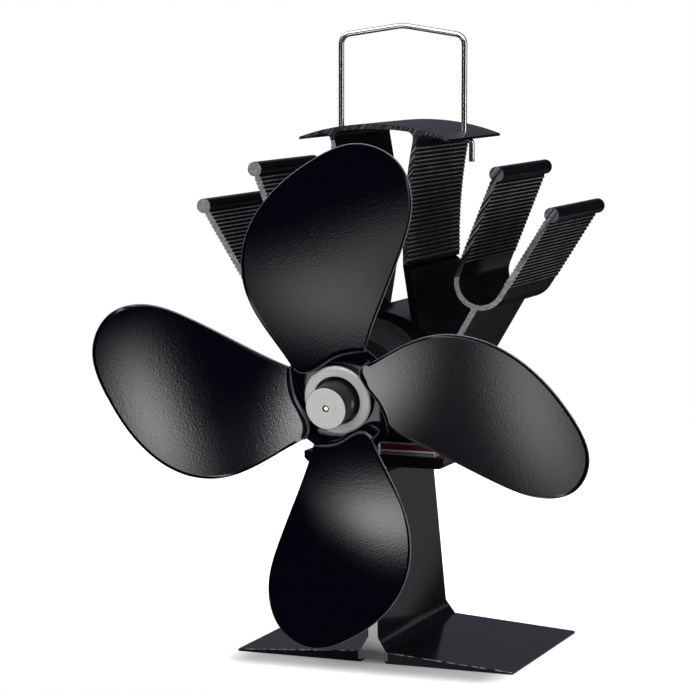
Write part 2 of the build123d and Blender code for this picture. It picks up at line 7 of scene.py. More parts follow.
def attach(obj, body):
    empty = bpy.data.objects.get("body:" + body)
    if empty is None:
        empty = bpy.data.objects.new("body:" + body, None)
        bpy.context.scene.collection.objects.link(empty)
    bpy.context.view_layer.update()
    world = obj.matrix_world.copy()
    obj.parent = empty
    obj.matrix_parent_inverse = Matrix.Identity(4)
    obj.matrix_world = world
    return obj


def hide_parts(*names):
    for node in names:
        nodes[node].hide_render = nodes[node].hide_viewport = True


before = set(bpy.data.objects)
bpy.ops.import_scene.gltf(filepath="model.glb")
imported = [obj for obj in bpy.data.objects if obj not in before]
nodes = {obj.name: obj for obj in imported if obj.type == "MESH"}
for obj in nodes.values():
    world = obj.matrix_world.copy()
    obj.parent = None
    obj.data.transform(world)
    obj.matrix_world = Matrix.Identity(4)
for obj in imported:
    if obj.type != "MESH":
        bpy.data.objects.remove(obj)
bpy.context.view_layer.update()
scene = bpy.context.scene
scene.view_settings.view_transform = "Standard"


# Camera: a long lens on a stand, a little above the fan and to its right.
# Its place and its two turns are in the fan's own frame, and nothing else aims it.
picture_width = 696
focal_pixels = 2878.6
camera_turn = 21.618
camera_dip = 6.587

camera_data = bpy.data.cameras.new("camera")
camera_data.sensor_width = 36.0
camera_data.lens = focal_pixels / picture_width * camera_data.sensor_width
camera_data.clip_start = 0.05
camera = bpy.data.objects.new("camera", camera_data)
camera.location = (0.36012, -0.94240, 0.22761)
camera.rotation_euler = (math.radians(90 - camera_dip), 0.0, math.radians(camera_turn))
scene.collection.objects.link(camera)
scene.camera = camera


# Studio lamps: one large soft panel overhead, one on each side and a fill in front give the plain
# light. A strip on the right and a small low panel show only as gloss, and far in front stand narrow
# strips that the blades mirror. None of them shows in the picture.
def soft_panel(name, place, aim, width, height, level, for_gloss=True, for_paint=True):
    """A flat light at a place, turned to face the point that it is aimed at. Its level is the
    brightness of its face, so its power is level times pi times its area."""
    lamp = bpy.data.lights.new(name, "AREA")
    lamp.shape = "RECTANGLE"
    lamp.size = width
    lamp.size_y = height
    lamp.energy = level * math.pi * width * height
    panel = bpy.data.objects.new(name, lamp)
    panel.location = place
    panel.rotation_mode = "QUATERNION"
    panel.rotation_quaternion = (Vector(aim) - Vector(place)).to_track_quat("-Z", "Y")
    panel.visible_camera = False
    panel.visible_glossy = for_gloss
    panel.visible_diffuse = for_paint
    scene.collection.objects.link(panel)
    return panel


def way_to(azimuth, elevation):
    """The direction at an azimuth, from straight ahead of the fan towards its right, and an elevation."""
    turn, rise = math.radians(azimuth), math.radians(elevation)
    return Vector((math.sin(turn) * math.cos(rise), -math.cos(turn) * math.cos(rise), math.sin(rise)))


def filled(tree, node, **inputs):
    """Sets a node's inputs by name or number, as values or as links."""
    for key, value in inputs.items():
        socket = node.inputs[int(key[1:]) if key[0] == "_" else key.replace("_", " ")]
        if isinstance(value, bpy.types.NodeSocket):
            tree.links.new(value, socket)
        else:
            socket.default_value = value
    return node


def joined(tree, kind, mode=None, **inputs):
    """A new node in a tree, in its mode where it has one, with its inputs filled."""
    node = tree.nodes.new(kind)
    if kind == "ShaderNodeMix" and mode:
        node.data_type = mode
    elif kind == "ShaderNodeTexNoise" and mode:
        node.noise_dimensions = mode
    elif kind == "ShaderNodeMapRange" and mode:
        node.interpolation_type = mode
    elif mode:
        node.operation = mode
    return filled(tree, node, **inputs)


def reckoned(tree, operation, *values):
    """The result of a Math node."""
    inputs = {f"_{number}": value for number, value in enumerate(values)}
    return joined(tree, "ShaderNodeMath", operation, **inputs).outputs["Value"]


def product(tree, first, *others):
    """The product of several values."""
    for other in others:
        first = reckoned(tree, "MULTIPLY", first, other)
    return first


def graded(tree, value, start, end, low=0.0, high=1.0):
    """Goes evenly from low to high as the value goes from start to end, and stays there beyond them."""
    return joined(tree, "ShaderNodeMapRange", Value=value, From_Min=start, From_Max=end, To_Min=low,
                  To_Max=high).outputs["Result"]


strip_distance = 30.0


def mirror_strip(name, spot, start, end, width, level):
    """A narrow strip that a spot on the fan mirrors to the camera. It runs from one azimuth and
    elevation to another, its width is in degrees, and it fades to nothing at all four edges as the
    square of a sine."""
    first, last = way_to(*start) * strip_distance, way_to(*end) * strip_distance
    middle = (first + last) / 2
    strip = soft_panel(name, Vector(spot) + middle, spot, (last - first).length,
                       math.radians(width) * strip_distance, level, for_paint=False)
    away, along = middle.normalized(), (last - first).normalized()
    across = away.cross(along).normalized()
    turn = Matrix((across.cross(away), across, away)).transposed()
    strip.rotation_quaternion = turn.to_quaternion()
    strip.data.use_nodes = True
    lit = strip.data.node_tree
    face = joined(lit, "ShaderNodeSeparateXYZ", Vector=lit.nodes.new("ShaderNodeNewGeometry").outputs["Parametric"])
    fades = [reckoned(lit, "POWER", reckoned(lit, "SINE", reckoned(lit, "MULTIPLY", face.outputs[side], math.pi)), 2.0)
             for side in "XY"]
    filled(lit, lit.nodes["Emission"], Strength=product(lit, *fades))


fan_middle = (0.0, -0.043, 0.098)
hub_panel_way = way_to(-23, -25) * 0.5
soft_panel("panel_overhead", (0.0, 0.25, 1.3), (0.0, 0.0, 0.05), 1.2, 1.0, 2.4, for_gloss=False)
soft_panel("panel_right", (1.3, -0.15, 0.30), (0.0, 0.0, 0.12), 0.9, 0.7, 4.6, for_gloss=False)
soft_panel("strip_right", (1.3, -0.10, 0.20), (0.0, 0.0, 0.12), 0.45, 0.9, 2.4, for_paint=False)
soft_panel("panel_left", (-1.3, -0.30, 0.30), (0.0, 0.0, 0.12), 0.7, 0.7, 0.3, for_gloss=False)
soft_panel("panel_front_fill", (-0.2, -1.2, 0.5), fan_middle, 1.0, 0.8, 5.6, for_gloss=False)
soft_panel("panel_for_hub", Vector(fan_middle) + hub_panel_way, fan_middle, 0.12, 0.11, 2.45, for_paint=False)

top_spot, left_spot = (0.0, -0.05, 0.14), (-0.045, -0.045, 0.095)
bottom_spot, right_spot = (0.0, -0.045, 0.05), (0.045, -0.045, 0.1)
for name, spot, start, end, width, level in (
        ("strip_top_1", top_spot, (-14.84, -34.67), (9.98, -26.69), 1.8, 1.1),
        ("strip_top_2", top_spot, (-6.53, -34.32), (12.25, -25.72), 2.72, 1.89),
        ("strip_top_3", top_spot, (7.64, -31.74), (16.3, -26.39), 1.97, 0.3),
        ("strip_left_1", left_spot, (-21.46, 7.36), (-15.11, -8.79), 1.72, 7.1),
        ("strip_left_2", left_spot, (-19.96, 8.43), (-13.24, -2.13), 1.6, 9.1),
        ("strip_bottom_1", bottom_spot, (-62.88, -21.69), (-48.05, -18.13), 2.27, 4.4),
        ("strip_bottom_2", bottom_spot, (-58.0, -20.91), (-45.52, -17.22), 1.55, 2.51),
        ("strip_right_1", right_spot, (-43.0, -54.55), (-42.2, -44.14), 4.22, 6.01),
        ("strip_right_2", right_spot, (-38.31, -57.87), (-35.2, -34.16), 2.27, 3.07),
        ("strip_right_3", right_spot, (-42.13, -66.0), (-33.66, -25.34), 9.0, 0.27)):
    mirror_strip(name, spot, start, end, width, level)


# Studio room: white on every side in the picture, and an even grey as light. Gloss mirrors it as nearly
# black and a little blue, with a dim wall on the left, a bright ceiling in front and a lit corner
# behind on the left.
room_plain, room_dark, room_left_wall = 0.45, 0.012, 0.095
room_ceiling_level, room_corner_level = 2.5, 0.35
room_cool = (0.93, 0.95, 1.12, 1.0)
white = (1.0, 1.0, 1.0, 1.0)
world = bpy.data.worlds.new("studio_room")
scene.world = world
world.use_nodes = True
room = world.node_tree
room.nodes.clear()


def blended(tree, share, first, second):
    """The colour at a share of the way from a first to a second."""
    return joined(tree, "ShaderNodeMix", "RGBA", Factor=share, _6=first, _7=second).outputs[2]


def between(tree, share, first, second):
    """The number at a share of the way from a first to a second."""
    return joined(tree, "ShaderNodeMix", Factor=share, A=first, B=second).outputs["Result"]


room_rays = room.nodes.new("ShaderNodeLightPath").outputs
room_spot = room.nodes.new("ShaderNodeTexCoord").outputs["Generated"]
room_way = joined(room, "ShaderNodeSeparateXYZ", Vector=room_spot).outputs
room_high = graded(room, room_way["Z"], 0.30, 0.50)
room_left = graded(room, room_way["X"], -0.10, -0.20)
room_behind = graded(room, room_way["Y"], 0.0, 0.45)
room_before = graded(room, room_way["Y"], 0.0, -0.25, 0.0, room_ceiling_level)
room_level = graded(room, room_way["Z"], 0.0, 0.05, 0.0, room_left_wall)
room_wall = reckoned(room, "MULTIPLY_ADD", room_level, room_left, room_dark)
room_ceiling = reckoned(room, "MULTIPLY_ADD", room_before, room_high, room_wall)
room_mirrored = reckoned(room, "MULTIPLY_ADD", product(room, room_behind, room_high, room_left), room_corner_level,
                         room_ceiling)
room_by_gloss = between(room, room_rays["Is Glossy Ray"], room_plain, room_mirrored)
room_clear = reckoned(room, "MAXIMUM", room_rays["Is Camera Ray"], room_rays["Is Transmission Ray"])
room_light = joined(room, "ShaderNodeBackground", Color=blended(room, room_rays["Is Glossy Ray"], white, room_cool),
                    Strength=between(room, room_clear, room_by_gloss, 1.0))
joined(room, "ShaderNodeOutputWorld", Surface=room_light.outputs["Background"])


# Table: a white sheet under and behind the fan. It keeps the fan's soft shadow, and round the stand it is
# painted darker and glows less, a painted shadow; its light and paper fade into the white of the room two
# fingers' width beyond the stand. Gloss mirrors it as nearly black on the left and dim on the right.
sheet_left, sheet_right, sheet_front, sheet_back = -0.42, 0.40, -0.075, 0.60
plate_half_width, plate_half_depth, plate_middle = 0.041, 0.0367, 0.020
shadow_reach, shadow_glow = 0.026, 0.08
paper_painted_shade, paper_white = 0.42, 0.84
mirror_lean, mirror_fade, mirror_dark, mirror_dim = -0.26, 0.008, 0.012, 0.18
table_mesh = bpy.data.meshes.new("table_sheet")
table_mesh.from_pydata([(sheet_left, sheet_front, 0.0), (sheet_right, sheet_front, 0.0),
                        (sheet_right, sheet_back, 0.0), (sheet_left, sheet_back, 0.0)], [], [(0, 1, 2, 3)])
table = bpy.data.objects.new("table_sheet", table_mesh)
scene.collection.objects.link(table)

table_look = bpy.data.materials.new("white_table_sheet")
table_look.use_nodes = True
paper = table_look.node_tree
paper.nodes.clear()
paper_rays = paper.nodes.new("ShaderNodeLightPath").outputs
paper_place = paper.nodes.new("ShaderNodeTexCoord").outputs["Object"]
paper_way = joined(paper, "ShaderNodeSeparateXYZ", Vector=paper_place).outputs

# How far a spot lies outside the rectangle of the stand's plate, out of which the painted shadow fades
paper_beyond = paper_place
for operation, other in (("SUBTRACT", (0.0, plate_middle, 0.0)), ("ABSOLUTE", (0.0, 0.0, 0.0)),
                         ("SUBTRACT", (plate_half_width, plate_half_depth, 0.0)), ("MAXIMUM", (0.0, 0.0, 0.0))):
    paper_beyond = joined(paper, "ShaderNodeVectorMath", operation, _0=paper_beyond, _1=other).outputs["Vector"]
paper_reach = joined(paper, "ShaderNodeVectorMath", "LENGTH", _0=paper_beyond).outputs["Value"]
paper_far = joined(paper, "ShaderNodeMapRange", "SMOOTHSTEP", Value=paper_reach,
                   From_Max=shadow_reach).outputs["Result"]
# Near the stand the paper glows less and is darker than far off, a painted shadow
paper_lift = reckoned(paper, "MULTIPLY_ADD", paper_far, 1.0 - shadow_glow, shadow_glow)
paper_lamp = joined(paper, "ShaderNodeEmission", Color=white,
                    Strength=product(paper, paper_lift, paper_rays["Is Camera Ray"]))
paper_skin = joined(paper, "ShaderNodeBsdfDiffuse", Color=between(paper, paper_far, paper_painted_shade, paper_white))
paper_both = joined(paper, "ShaderNodeAddShader", _0=paper_lamp.outputs["Emission"], _1=paper_skin.outputs["BSDF"])
paper_right = reckoned(paper, "MULTIPLY_ADD", paper_way["Y"], mirror_lean, paper_way["X"])
paper_dim = joined(paper, "ShaderNodeEmission", Color=white,
                   Strength=graded(paper, paper_right, 0.0, mirror_fade, mirror_dark, mirror_dim))
paper_pick = joined(paper, "ShaderNodeMixShader", Fac=paper_rays["Is Glossy Ray"],
                    _1=paper_both.outputs["Shader"], _2=paper_dim.outputs["Emission"])
joined(paper, "ShaderNodeOutputMaterial", Surface=paper_pick.outputs["Shader"])
table_mesh.materials.append(table_look)


# Base stand: one aluminium extrusion, cut to length and anodised black. The die leaves fine lines along
# it and the saw leaves its stem's ends bare, painted darker down the foot as painted shade. Short lengths
# of the plate's upper rim are painted light, a painted highlight.
def new_finish(name, **values):
    """A material with a Principled shader whose plain values are set on its own sockets."""
    look = bpy.data.materials.new(name)
    look.use_nodes = True
    return look, filled(look.node_tree, look.node_tree.nodes["Principled BSDF"], **values)


def new_effect(name, inputs, outputs):
    """An empty node group with its named inputs and outputs, given as {name: kind of socket}."""
    effect = bpy.data.node_groups.new(name, "ShaderNodeTree")
    for label, kind in inputs.items():
        effect.interface.new_socket(label, in_out="INPUT", socket_type="NodeSocket" + kind)
    for label, kind in outputs.items():
        effect.interface.new_socket(label, in_out="OUTPUT", socket_type="NodeSocket" + kind)
    return effect, effect.nodes.new("NodeGroupInput").outputs, effect.nodes.new("NodeGroupOutput")


def placed(look, effect, **values):
    """The effect's node in a material, with its own values."""
    node = look.node_tree.nodes.new("ShaderNodeGroup")
    node.node_tree = effect
    node.name = effect.name
    return filled(look.node_tree, node, **values)


def spots(tree, place, scale, detail, roughness=0.5):
    """A cloudy noise over a place, from about 0.3 to 0.7."""
    return joined(tree, "ShaderNodeTexNoise", Vector=place, Scale=scale, Detail=detail,
                  Roughness=roughness).outputs["Fac"]


def stretched(tree, place, grain):
    """A place times a grain, which counts the spots a metre along each axis."""
    return joined(tree, "ShaderNodeVectorMath", "MULTIPLY", _0=place, _1=grain).outputs["Vector"]


merge_distance = 1e-6
flat_angle, eased_angle, crisp_angle = math.radians(0.3), math.radians(35), math.radians(38)


def softened(node, edge_width):
    """Merges a node's loose triangles, takes the sharp off its edges and shades it smooth between
    them, with modifiers alone."""
    node.data.polygons.foreach_set("use_smooth", np.ones(len(node.data.polygons), dtype=bool))
    weld = node.modifiers.new("merge", "WELD")
    weld.merge_threshold = merge_distance
    if edge_width:
        merged = node.modifiers.new("whole_faces", "DECIMATE")
        merged.decimate_type = "DISSOLVE"
        merged.angle_limit = flat_angle
        edge = node.modifiers.new("eased_edges", "BEVEL")
        edge.width = edge_width
        edge.segments = 2
        edge.limit_method = "ANGLE"
        edge.angle_limit = eased_angle
        edge.harden_normals = False
    split = node.modifiers.new("crisp_edges", "EDGE_SPLIT")
    split.split_angle = crisp_angle
    flat = node.modifiers.new("even_faces", "WEIGHTED_NORMAL")
    flat.keep_sharp = True


def dressed(name, look):
    """Gives a node its one material."""
    nodes[name].data.materials.clear()
    nodes[name].data.materials.append(look)


# The effect of an extrusion's skin: die lines along Y, blotches in the anodising, painted highlights on
# the crests that the attribute "crest" marks, broken up by the blotches, and the mask of the sawn ends
# with the saw's marks
die_grain, saw_grain = (5200.0, 60.0, 5200.0), (500.0, 500.0, 6500.0)
blotches_a_metre, skin_grains_a_metre = 85.0, 4200.0
sawn_facing, crest_range, highlight_break_range, grain_range = (0.86, 0.95), (0.62, 0.82), (0.35, 0.60), (0.3, 0.7)
extruded, line_values, lines_out = new_effect(
    "extruded_skin", {"Line Depth": "Float", "Dark": "Color", "Light": "Color", "Worn": "Color", "Wear": "Float",
                      "Smooth": "Float", "Rough": "Float"},
    {"Colour": "Color", "Roughness": "Float", "Normal": "Vector", "End": "Float", "Place": "Vector"})
skin_place = extruded.nodes.new("ShaderNodeTexCoord").outputs
die_lines = spots(extruded, stretched(extruded, skin_place["Object"], die_grain), 1.0, 2.0)
blotches = spots(extruded, skin_place["Object"], blotches_a_metre, 4.0, 0.6)
skin_grain = spots(extruded, skin_place["Object"], skin_grains_a_metre, 2.0)
facing = joined(extruded, "ShaderNodeSeparateXYZ", Vector=skin_place["Normal"]).outputs["Y"]
end_mask = graded(extruded, reckoned(extruded, "ABSOLUTE", facing), *sawn_facing)
saw_marks = spots(extruded, stretched(extruded, skin_place["Object"], saw_grain), 1.0, 3.0)
skin_height = reckoned(extruded, "MULTIPLY_ADD", skin_grain, 0.7, between(extruded, end_mask, die_lines, saw_marks))
skin_bump = joined(extruded, "ShaderNodeBump", Height=skin_height, Distance=line_values["Line Depth"])
crest_mark = extruded.nodes.new("ShaderNodeAttribute")
crest_mark.attribute_name = "crest"
crest_highlight = product(extruded, graded(extruded, crest_mark.outputs["Fac"], *crest_range),
                 graded(extruded, blotches, *highlight_break_range, 0.65), line_values["Wear"])
black_skin = blended(extruded, blotches, line_values["Dark"], line_values["Light"])
skin_mix = reckoned(extruded, "MULTIPLY_ADD", blotches, 0.6, product(extruded, die_lines, 0.4))
filled(extruded, lines_out, Colour=blended(extruded, crest_highlight, black_skin, line_values["Worn"]),
       Roughness=graded(extruded, skin_mix, *grain_range, line_values["Smooth"], line_values["Rough"]),
       Normal=skin_bump.outputs["Normal"], End=end_mask, Place=skin_place["Object"])

die_line_depth = 0.0000035
anodised_gloss = (0.84, 0.87, 1.0, 1.0)
# The grey and share of the painted highlights on the ridges' crests
crest_highlight_grey, crest_highlight_share = (0.17, 0.17, 0.18, 1.0), 0.9
saw_pits_a_metre, pit_range = 2600.0, (0.38, 0.62)


def anodised_extrusion(name, bare_mask, dark, light, smooth, rough, bare, bare_roughness, bare_metal, pitted):
    """Black anodised aluminium whose sawn ends are bare where the mask, worked out from the place on
    the piece, is one. The bare metal is darker in the saw's pits by the share given last."""
    look, shader = new_finish(name, Specular_Tint=anodised_gloss)
    tree = look.node_tree
    skin = placed(look, extruded, Line_Depth=die_line_depth, Dark=(*dark, 1.0), Light=(*light, 1.0),
                  Worn=crest_highlight_grey, Wear=crest_highlight_share, Smooth=smooth, Rough=rough).outputs
    where = joined(tree, "ShaderNodeSeparateXYZ", Vector=skin["Place"]).outputs
    cut = product(tree, skin["End"], bare_mask(tree, where))
    pit = graded(tree, spots(tree, skin["Place"], saw_pits_a_metre, 2.0), *pit_range, 1.0 - pitted)
    bare_tone = joined(tree, "ShaderNodeVectorMath", "SCALE", _0=bare, Scale=pit).outputs["Vector"]
    filled(tree, shader, Base_Color=blended(tree, cut, skin["Colour"], bare_tone),
           Roughness=between(tree, cut, skin["Roughness"], bare_roughness),
           Metallic=product(tree, cut, bare_metal), Normal=skin["Normal"])
    return look


stem_end_half_width = 0.0056
stem_end_low, stem_end_high = 0.0010, 0.0705
# The bare stem end is painted darker towards the bottom of its foot, a painted shade
foot_shade_low, foot_shade_high, foot_shade = 0.004, 0.0102, 0.10
rim_fall, rim_height, rim_top = 0.07006, 0.004543, 0.0043
rim_inner, rim_outer = 0.00045, 0.00020
rim_breaks_a_metre, rim_break_range, rim_highlight_level = 420.0, (0.42, 0.60), 0.24


def on_the_stem(tree, where):
    """One on the ends of the stem and its foot, falling towards the foot's bottom as painted shade, and
    nothing on the ends of plate and platform, but for short lengths along the plate's upper rim, a painted
    highlight whose height falls evenly from the foot outward."""
    across = reckoned(tree, "ABSOLUTE", where["X"])
    cut = product(tree, reckoned(tree, "LESS_THAN", across, stem_end_half_width),
                  reckoned(tree, "GREATER_THAN", where["Z"], stem_end_low),
                  graded(tree, where["Z"], foot_shade_low, foot_shade_high, foot_shade),
                  reckoned(tree, "LESS_THAN", where["Z"], stem_end_high))
    # The painted highlight along the plate's upper rim, broken into short lengths
    climb = reckoned(tree, "MULTIPLY_ADD", across, rim_fall, where["Z"])
    rim_breaks = spots(tree, tree.nodes.new("ShaderNodeTexCoord").outputs["Object"], rim_breaks_a_metre, 3.0)
    rim_highlight = product(tree, graded(tree, climb, rim_height - rim_inner, rim_height - rim_outer),
                   graded(tree, rim_breaks, *rim_break_range, 0.0, rim_highlight_level),
                   reckoned(tree, "LESS_THAN", where["Z"], rim_top))
    return reckoned(tree, "MAXIMUM", cut, rim_highlight)


softened(nodes["base_stand"], 0.00030)
dressed("base_stand", anodised_extrusion("base_anodised", on_the_stem, (0.0030, 0.0031, 0.0042),
                                         (0.0052, 0.0054, 0.0072), 0.09, 0.15, (0.97, 0.97, 0.96), 0.38, 0.15, 0.10))


# Safety strip: a flat strip of bimetal in the groove under the stem, held by one steel rivet. It is
# rolled, so its grain runs along it.
grained, grain_values, grain_out = new_effect(
    "fine_grain", {"Grain": "Vector", "Depth": "Float", "Dark": "Color", "Light": "Color", "Smooth": "Float",
                   "Rough": "Float"}, {"Colour": "Color", "Roughness": "Float", "Normal": "Vector"})
grain_place = grained.nodes.new("ShaderNodeTexCoord").outputs["Object"]
specks = spots(grained, stretched(grained, grain_place, grain_values["Grain"]), 1.0, 3.0, 0.55)
filled(grained, grain_out, Colour=blended(grained, specks, grain_values["Dark"], grain_values["Light"]),
       Roughness=graded(grained, specks, *grain_range, grain_values["Smooth"], grain_values["Rough"]),
       Normal=joined(grained, "ShaderNodeBump", Height=specks, Distance=grain_values["Depth"]).outputs["Normal"])


def grained_finish(name, grain, depth, dark, light, smooth, rough, **values):
    """A finish whose colour, roughness and fine relief all follow one grain, given in grains a metre
    along each axis."""
    look, shader = new_finish(name, **values)
    skin = placed(look, grained, Grain=grain, Depth=depth, Dark=(*dark, 1.0), Light=(*light, 1.0), Smooth=smooth,
                  Rough=rough).outputs
    filled(look.node_tree, shader, Base_Color=skin["Colour"], Roughness=skin["Roughness"], Normal=skin["Normal"])
    return look


softened(nodes["safety_strip"], 0.00006)
dressed("safety_strip", grained_finish("strip_bimetal", (4000, 150, 4000), 2e-6, (0.46, 0.40, 0.31),
                                       (0.62, 0.56, 0.46), 0.28, 0.45, Metallic=1.0))
softened(nodes["strip_rivet"], 0)
dressed("strip_rivet", grained_finish("rivet_steel", (2500, 2500, 2500), 3e-6, (0.38, 0.38, 0.39), (0.55, 0.55, 0.56),
                                      0.30, 0.48, Metallic=1.0))


# Thermoelectric module: two white alumina plates, a grid of grey semiconductor pellets between them and
# a dark red silicone seal round the edge. Graphite sheets lie under and over it.
for plate in ("module_hot_plate", "module_cold_plate"):
    softened(nodes[plate], 0.00010)
    dressed(plate, grained_finish(plate + "_ceramic", (1800, 1800, 1800), 2e-6, (0.70, 0.70, 0.67), (0.80, 0.80, 0.78),
                                  0.42, 0.58))
softened(nodes["module_pellets"], 0)
dressed("module_pellets", grained_finish("pellet_grey", (2600, 2600, 900), 4e-6, (0.13, 0.13, 0.14), (0.22, 0.22, 0.24),
                                         0.30, 0.50, Metallic=0.8))
softened(nodes["module_seal"], 0.00012)
dressed("module_seal", grained_finish("seal_red", (900, 900, 1500), 1.2e-5, (0.120, 0.005, 0.020),
                                      (0.200, 0.010, 0.036), 0.38, 0.55))
for name in ("hot_side_sheet", "cold_side_sheet"):
    softened(nodes[name], 0)
    dressed(name, grained_finish(name + "_graphite", (1500, 1500, 4000), 3e-6, (0.035, 0.035, 0.037),
                                 (0.07, 0.07, 0.075), 0.35, 0.5, Metallic=0.4))


# Clamp: two steel socket screws hold the heat sink down on the module, each through a pale plastic bush
# that keeps the heat from crossing.
softened(nodes["clamp_screws"], 0)
dressed("clamp_screws", grained_finish("clamp_steel", (3500, 3500, 700), 2e-6, (0.42, 0.42, 0.43), (0.60, 0.60, 0.61),
                                       0.24, 0.40, Metallic=1.0))
softened(nodes["clamp_bushes"], 0)
dressed("clamp_bushes", grained_finish("bush_plastic", (1600, 1600, 1600), 4e-6, (0.62, 0.58, 0.47), (0.70, 0.66, 0.55),
                                       0.45, 0.60))


# Heat sink: one aluminium extrusion in the same black, with ridges along its fins. The saw leaves the
# ends of fins and forks bare and pitted, and streaks where the black covers them again. The ridges'
# crests are painted lighter, as painted highlights.
fin_end_high = 0.18450
body_axis_height, body_reach = 0.0960, 0.0298
shoulder_reach, shoulder_height = 0.0180, 0.1416
rough_cut_low, rough_cut_high, rough_cut_reach = 0.1375, 0.1385, 0.0479
# The bare share falls up the right arms, a painted shade
arm_cut_low, arm_cut_high = 0.1400, 0.1450
low_arm_level, high_arm_level, left_level = 0.64, 0.16, 0.5
outer_bulb_start, outer_bulb_level = 0.0626, 0.45
streaks_a_metre, streak_lean, streak_range = 1300.0, 0.8, (0.50, 0.62)
cut_streaks, crown_streaks = 0.5, 0.20
mask_edge = 0.0001


def on_the_fins(tree, where):
    """The bare share of the ends of the fins and forks, and nothing on the ends of body and shoulders.
    Lower right it is high, up the right arms it falls as painted shade, on the left it is less, and on
    the top plate and the right centre fin only the saw's scratches show, which run across them upward to the right."""
    x, z = where["X"], where["Z"]

    def past(value, start, low=0.0, high=1.0):
        return graded(tree, value, start, start + mask_edge, low, high)

    def largest(one, other):
        return reckoned(tree, "MAXIMUM", one, other)

    rise = reckoned(tree, "POWER", reckoned(tree, "SUBTRACT", z, body_axis_height), 2.0)
    reach = reckoned(tree, "SQRT", reckoned(tree, "ADD", product(tree, x, x), rise))
    beside = largest(past(reckoned(tree, "ABSOLUTE", x), shoulder_reach), past(z, shoulder_height))
    off_body = product(tree, past(reach, body_reach), beside)
    under_crown = graded(tree, z, fin_end_high, fin_end_high - mask_edge)
    on_crown = reckoned(tree, "SUBTRACT", 1.0, under_crown)
    right = largest(graded(tree, z, rough_cut_high, rough_cut_low), past(x, rough_cut_reach))
    right_cut = product(tree, right, graded(tree, z, arm_cut_low, arm_cut_high, low_arm_level, high_arm_level))
    clean = largest(right_cut, graded(tree, x, mask_edge, -mask_edge, 0.0, left_level))
    bulb = past(x, outer_bulb_start, 1.0, outer_bulb_level)
    along = reckoned(tree, "SUBTRACT", x, product(tree, z, streak_lean))
    scratch = joined(tree, "ShaderNodeTexNoise", "1D", W=along, Scale=streaks_a_metre).outputs["Fac"]
    scratched = graded(tree, scratch, *streak_range)
    level = largest(product(tree, clean, bulb), product(tree, scratched, cut_streaks))
    crown = product(tree, scratched, on_crown, crown_streaks)
    return product(tree, off_body, reckoned(tree, "MULTIPLY_ADD", under_crown, level, crown))


ridge_fold, fold_tolerance = 58.5, 3.0


def mark_crests(node, fold):
    """Marks the crests of a node's ridges for its material, as the attribute "crest". A crest is an
    edge along Y that stands out between two faces folded by the ridges' own angle."""
    mesh = node.data
    points = np.empty(len(mesh.vertices) * 3)
    mesh.vertices.foreach_get("co", points)
    points = points.reshape(-1, 3)
    corners = np.array([face.vertices[:] for face in mesh.polygons])
    joint = np.unique(np.round(points * 1e6).astype(int), axis=0, return_inverse=True)[1].ravel()
    first, second, third = (points[corners[:, k]] for k in range(3))
    normals = np.cross(second - first, third - first)
    normals /= np.maximum(np.linalg.norm(normals, axis=1), 1e-12)[:, None]
    beside, marked = {}, np.zeros(len(points))
    for face, corner in enumerate(corners):
        for k in range(3):
            start, end, far = corner[k], corner[(k + 1) % 3], corner[(k + 2) % 3]
            span = points[end] - points[start]
            if abs(span[1]) > 0.999 * np.linalg.norm(span):
                beside.setdefault(frozenset((joint[start], joint[end])), []).append((face, start, far))
    for edge, sides in beside.items():
        if len(sides) == 2:
            (one, start, _), (other, _, far) = sides
            angle = math.degrees(math.acos(np.clip(normals[one] @ normals[other], -1.0, 1.0)))
            if abs(angle - fold) < fold_tolerance and normals[one] @ (points[far] - points[start]) < 0:
                marked[list(edge)] = 1.0
    crests = mesh.attributes.new("crest", "FLOAT", "POINT")
    crests.data.foreach_set("value", marked[joint])


mark_crests(nodes["heat_sink"], ridge_fold)
softened(nodes["heat_sink"], 0.00012)
sink_look = anodised_extrusion("sink_anodised", on_the_fins, (0.0018, 0.0018, 0.0026), (0.0036, 0.0036, 0.0050),
                               0.20, 0.28, (0.55, 0.55, 0.56), 0.42, 0.35, 0.70)
# The crests' painted highlights are weaker on the outer right arm
weaker_highlight_from, weaker_highlight_to, inner_highlight, outer_highlight = 0.046, 0.050, 0.95, 0.60
sink_tree = sink_look.node_tree
sink_spot = sink_tree.nodes.new("ShaderNodeTexCoord").outputs["Object"]
sink_right = joined(sink_tree, "ShaderNodeSeparateXYZ", Vector=sink_spot).outputs["X"]
filled(sink_tree, sink_tree.nodes["extruded_skin"],
       Wear=graded(sink_tree, sink_right, weaker_highlight_from, weaker_highlight_to, inner_highlight, outer_highlight))
dressed("heat_sink", sink_look)


# Motor sleeve: a moulded ring of matt black plastic. It is pressed into the bore, and its own slanted
# bore holds the tilted motor.
softened(nodes["motor_sleeve"], 0.0001)
dressed("motor_sleeve", grained_finish("sleeve_plastic", (1400, 1400, 1400), 8e-6, (0.010, 0.010, 0.011),
                                       (0.018, 0.018, 0.019), 0.45, 0.60))


# Motor: a drawn steel can, coloured black, with a moulded end cap. Inside are bronze bearings, two
# ferrite magnets, a laminated core with enamelled coils, and a copper commutator with its brushes.
softened(nodes["motor_can"], 0)
dressed("motor_can", grained_finish("can_black", (1200, 1200, 1200), 3e-6, (0.012, 0.012, 0.013), (0.022, 0.022, 0.024),
                                    0.28, 0.42))
softened(nodes["motor_end_cap"], 0)
dressed("motor_end_cap", grained_finish("cap_plastic", (1500, 1500, 1500), 6e-6, (0.016, 0.016, 0.017),
                                        (0.030, 0.030, 0.031), 0.40, 0.55))
for bearing in ("motor_front_bearing", "motor_rear_bearing"):
    softened(nodes[bearing], 0)
    dressed(bearing, grained_finish(bearing + "_bronze", (3200, 3200, 3200), 5e-6, (0.36, 0.22, 0.10),
                                    (0.52, 0.34, 0.17), 0.34, 0.55, Metallic=1.0))
softened(nodes["motor_magnets"], 0)
